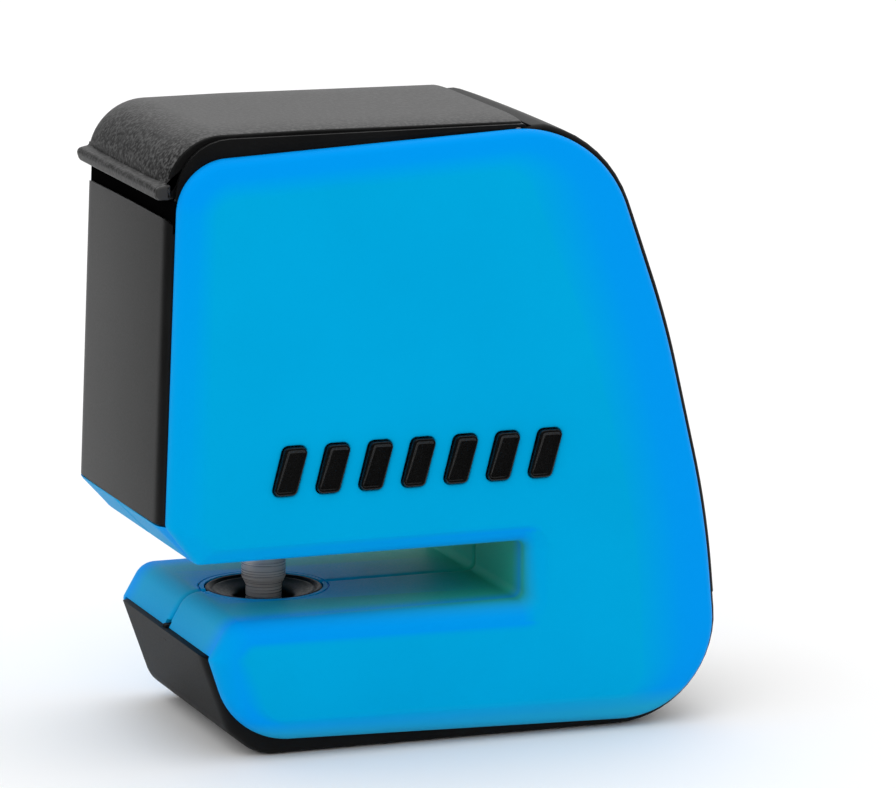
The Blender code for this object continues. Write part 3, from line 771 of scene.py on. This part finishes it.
def base_cover(finish):
    """The cover under the lock, from the jaw's nose to the foot of the spine, and its tab at the seam."""
    path = rounded(
        [(52.98, -1.8), (54.3, -16.6, 12.0), (-5.8, -16.6, 5.0), (-9.3, -13.8, 3.0), (-12.5, -4.75)],
        is_open=True,
    )
    outline, rises = banded(path, 0.8)
    for i, point in enumerate(outline[: len(outline) // 2]):
        if point.x > 40:
            rises[i] += 0.22 * ramp(point.y, -14.0, 9.0)
    bm = swept(outline, rises, BAND_Y, TRIM_EDGE, lambda y: shoulder(y, BAND_Y, 1.6), stations=18)
    tab = rounded([(-13.0, -6.0, 0.2), (-13.0, -3.9, 0.3), (-11.6, -3.9, 0.2), (-11.6, -6.0, 0.2)])
    swept(tab, [0.0] * len(tab), 0.65, 0.15, level_at, stations=2, bm=bm)
    return piece("base_cover", bm, "lock_body", finish, ["base_bumper"])


# ---------------------------------------------------------------- the flap


def flap_leaf(finish, edge_finish, lip_finish):
    """The flap: a crowned leaf that turns down over the end, with a lip to lift it by and a hinge barrel."""
    outer = [
        (-16.6, 52.0),
        (-18.7, 52.0, 0.55),
        (-19.15, 53.6, 0.7),
        (-17.42, 53.95, 0.6),
        (-17.3, 59.35, 7.0, 16),
        (0.0, 59.45, 110.0, 4),
        (27.9, 59.17, 0.35),
        (28.12, 58.6),
    ]
    top = split_long(rounded(outer, is_open=True), 2.5)
    lip = sum(1 for p in top if p.y < 54.2)
    barrel = arc(HINGE, 1.0, 20.0, -165.0, 14)
    inner = [(25.9, 57.7), (0.0, 57.95, 110.0, 4), (-15.8, 57.85, 5.5, 12), (-15.95, 52.6)]
    under = split_long(rounded(inner, is_open=True), 2.5)
    outline = top + barrel + under
    rises = []
    for k in range(len(outline)):
        if lip <= k < len(top):
            share = (k - lip) / (len(top) - lip)
            ends = min((k - lip) / 4, (FLAP_END_X - outline[k].x) / 0.6, 1.0)
            rises.append((0.6 - 0.15 * share) * max(ends, 0.0))
        else:
            rises.append(0.0)
    bm = swept(outline, rises, FLAP_Y, FLAP_EDGE, lambda y: shoulder(y, FLAP_Y, 7.0))
    ends = rounded(
        [
            (-17.05, 52.05, 0.2), (-18.65, 52.05, 0.55), (-19.1, 53.55, 0.68), (-17.6, 53.87, 0.3),
            (-17.05, 53.87, 0.2),
        ]
    )
    for side in (-1, 1):
        loops = []
        for y, inset in ((15.2, 0.0), (15.9, 0.0), (16.07, 0.04), (16.2, 0.12), (16.28, 0.24), (16.3, 0.36)):
            loops.append([(p.x, side * y, p.y) for p in offset(ends, -inset)])
        lofted(loops, bm)
    obj = piece("flap_leaf", bm, "flap", finish, ["dust_flap"])
    obj.data.materials.append(edge_finish)
    obj.data.materials.append(lip_finish)
    for face in obj.data.polygons:
        if abs(face.normal.y) > 0.5:
            face.material_index = 1 if face.center.x > at(LIP_X, 0, 0).x else 2
    return obj


# ---------------------------------------------------------------- turned pieces


def turned_pieces(finish):
    ring = [
        (3.75, -4.0), (6.0, -4.0), (6.0, -1.8), (7.2, -1.8), (7.3, -1.7), (7.3, -0.3), (7.25, -0.14),
        (7.12, -0.06), (6.98, -0.04), (6.84, -0.08), (6.74, -0.18), (6.66, -0.32), (6.54, -0.4),
        (6.42, -0.38), (6.32, -0.31),
        (6.18, -0.3), (6.02, -0.36), (5.8, -0.47), (5.3, -0.64), (4.8, -0.8), (4.4, -0.93), (4.05, -1.08),
        (3.84, -1.25), (3.75, -1.5),
    ]
    piece("jaw_ring", turned(ring), "lock_body", finish["ring"], ["receiver_ring"])
    pin = [
        (0.0, PIN_TIP_Z), (PIN_NOSE_R - 0.45, PIN_TIP_Z), (PIN_NOSE_R - 0.15, PIN_TIP_Z + 0.1),
        (PIN_NOSE_R, PIN_TIP_Z + 0.4), (PIN_NOSE_R, 0.2), (PIN_NOSE_R + 0.05, 0.38), (PIN_R - 0.08, 1.12),
        (PIN_R, 1.32), (PIN_R, 13.9), (3.2, 13.9), (3.3, 14.0), (3.3, 21.8), (3.17, 22.07), (2.9, 22.2),
        (0.0, 22.2),
    ]
    obj = piece("pin_body", turned(pin), "pin", finish["pin"], ["lock_pin"])
    cross = bmesh.new()
    angles = [2 * math.pi * k / 32 for k in range(32)]
    circle = [(1.27 * math.cos(a), 19.0 + 1.27 * math.sin(a)) for a in angles]
    lofted([[(x, y, z) for y, z in circle] for x in (-5.0, 5.0)], cross)
    subtract(obj, cross, "cross_hole")
    seal = [
        (6.4, 55.7), (8.0, 55.7), (8.0, 57.05), (7.9, 57.35), (7.6, 57.56), (7.2, 57.6), (6.8, 57.56),
        (6.5, 57.35), (6.4, 57.05),
    ]
    piece("well_gasket", turned(seal), "lock_body", finish["rubber"], ["key_well_seal"])
    guard = [(0.0, 51.8), (6.2, 51.8), (6.3, 51.9), (6.3, 52.7), (6.2, 52.9), (6.0, 53.0), (0.0, 53.0)]
    obj = piece("key_face", turned(guard), "plug", finish["steel"], ["drill_guard"])
    subtract(obj, box_cutter((-0.9, 0.9), (-3.2, 3.2), (50.0, 55.0)), "key_slot")


# ---------------------------------------------------------------- the solids that stay


KEPT = {
    "core_body": "core",
    "deck_frame": "deck",
    "flap_hinge_pin": "core",
    "deck_screw_1": "steel",
    "deck_screw_2": "steel",
    "lock_housing": "brass",
    "cylinder_pin": "steel",
    "lock_plug": "brass",
    "plug_circlip": "steel",
    "side_bar": "steel",
    "cam_sleeve": "steel",
    "guide_bush": "steel",
    "follower_pin": "steel",
    "pin_seal": "rubber",
    "receiver_cup": "steel",
}
# The bevels of their edges, in millimetres
SOFTENED = {
    "deck_frame": 0.12,
    "deck_screw_1": 0.12,
    "deck_screw_2": 0.12,
    "lock_housing": 0.1,
    "receiver_cup": 0.1,
}


def finish_solids(finish):
    kept = dict(KEPT)
    kept.update({f"code_disc_{n}": "brass" for n in range(1, 7)})
    for name, key in kept.items():
        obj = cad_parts[name]
        obj.data.materials.clear()
        obj.data.materials.append(finish[key])
        weld = obj.modifiers.new("weld", "WELD")
        weld.merge_threshold = 1e-6
        if name in SOFTENED:
            bevel = obj.modifiers.new("soften", "BEVEL")
            bevel.width = SOFTENED[name] * MM
            bevel.segments = 2
            bevel.limit_method = "ANGLE"
            bevel.angle_limit = math.radians(35)
            bevel.harden_normals = True
        obj.data.shade_smooth()
        obj.data.set_sharp_from_angle(angle=math.radians(35))


# ---------------------------------------------------------------- the studio


def plain_material(name, colour, roughness):
    made = bpy.data.materials.new(name)
    made.use_nodes = True
    shader = made.node_tree.nodes["Principled BSDF"]
    shader.inputs["Base Color"].default_value = (*colour, 1.0)
    shader.inputs["Roughness"].default_value = roughness
    shader.inputs["Specular IOR Level"].default_value = 0.2
    return made


def studio():
    """A pale floor under white light, and black cards that only reflections see."""
    bpy.context.scene.view_settings.view_transform = "Standard"
    bm = bmesh.new()
    bmesh.ops.create_grid(bm, x_segments=1, y_segments=1, size=FLOOR_HALF)
    mesh = bpy.data.meshes.new("floor")
    bm.to_mesh(mesh)
    bm.free()
    mesh.materials.append(plain_material("pale_floor", (0.93, 0.93, 0.93), 0.7))
    floor = bpy.data.objects.new("floor", mesh)
    floor.location.z = cad_low.z
    bpy.context.scene.collection.objects.link(floor)

    world = bpy.data.worlds.new("studio")
    world.use_nodes = True
    world.node_tree.nodes["Background"].inputs["Color"].default_value = (1.0, 1.0, 1.0, 1.0)
    world.node_tree.nodes["Background"].inputs["Strength"].default_value = 1.0
    bpy.context.scene.world = world

    black = plain_material("flag_black", (0.0, 0.0, 0.0), 1.0)
    cards = {
        "flag_left": [(-0.09, -0.2, 0.0), (-0.09, 0.11, 0.0), (-0.09, 0.11, 0.16), (-0.09, -0.2, 0.16)],
        "flag_high": [(-0.09, 0.16, 0.045), (-0.09, 0.6, 0.045), (-0.09, 0.6, 0.35), (-0.09, 0.16, 0.35)],
        "flag_front": [(-0.09, -0.075, 0.0), (0.3, -0.075, 0.0), (0.3, -0.075, 0.14), (-0.09, -0.075, 0.14)],
    }
    for name, corners in cards.items():
        mesh = bpy.data.meshes.new(name)
        mesh.from_pydata(corners, [], [(0, 1, 2, 3)])
        mesh.materials.append(black)
        card = bpy.data.objects.new(name, mesh)
        card.visible_camera = False
        card.visible_diffuse = False
        card.visible_transmission = False
        card.visible_shadow = False
        bpy.context.scene.collection.objects.link(card)

    for name, place, size, power in (
        ("key_light", (-0.5, -0.7, 0.9), 0.9, 1.5),
        ("top_light", (0.1, 0.3, 1.0), 1.0, 2.0),
    ):
        lamp = bpy.data.lights.new(name, "AREA")
        lamp.shape = "DISK"
        lamp.size = size
        lamp.energy = power
        obj = bpy.data.objects.new(name, lamp)
        obj.location = place
        obj.rotation_euler = (LAMP_AIM - Vector(place)).to_track_quat("-Z", "Y").to_euler()
        bpy.context.scene.collection.objects.link(obj)


def camera():
    a, e, roll = (math.radians(v) for v in (CAMERA_AZIMUTH, CAMERA_ELEVATION, CAMERA_ROLL))
    ahead = Vector((math.sin(a) * math.cos(e), math.cos(a) * math.cos(e), -math.sin(e)))
    right = Vector((math.cos(a), -math.sin(a), 0.0))
    up = right.cross(ahead)
    right, up = right * math.cos(roll) + up * math.sin(roll), up * math.cos(roll) - right * math.sin(roll)
    lens = bpy.data.cameras.new("camera")
    lens.lens = LENS
    lens.sensor_width = SENSOR
    lens.clip_start = 0.05
    lens.clip_end = 20.0
    obj = bpy.data.objects.new("camera", lens)
    turn = Matrix((right, up, -ahead)).transposed().to_4x4()
    obj.matrix_world = Matrix.Translation(at(*CAMERA_AIM) - ahead * CAMERA_DISTANCE * MM) @ turn
    bpy.context.scene.collection.objects.link(obj)
    bpy.context.scene.camera = obj


camera()
studio()
finish = finishes()
for side in (-1, 1):
    cheek_shell(side, finish["blue"])
    grip_bars(side, finish["bars"])
end_panel(finish["panel"])
recess_wall(finish["recess"])
spine_cover(finish["spine"])
base_cover(finish["base"])
flap_leaf(finish["flap"], finish["deck"], finish["lip"])
turned_pieces(finish)
finish_solids(finish)
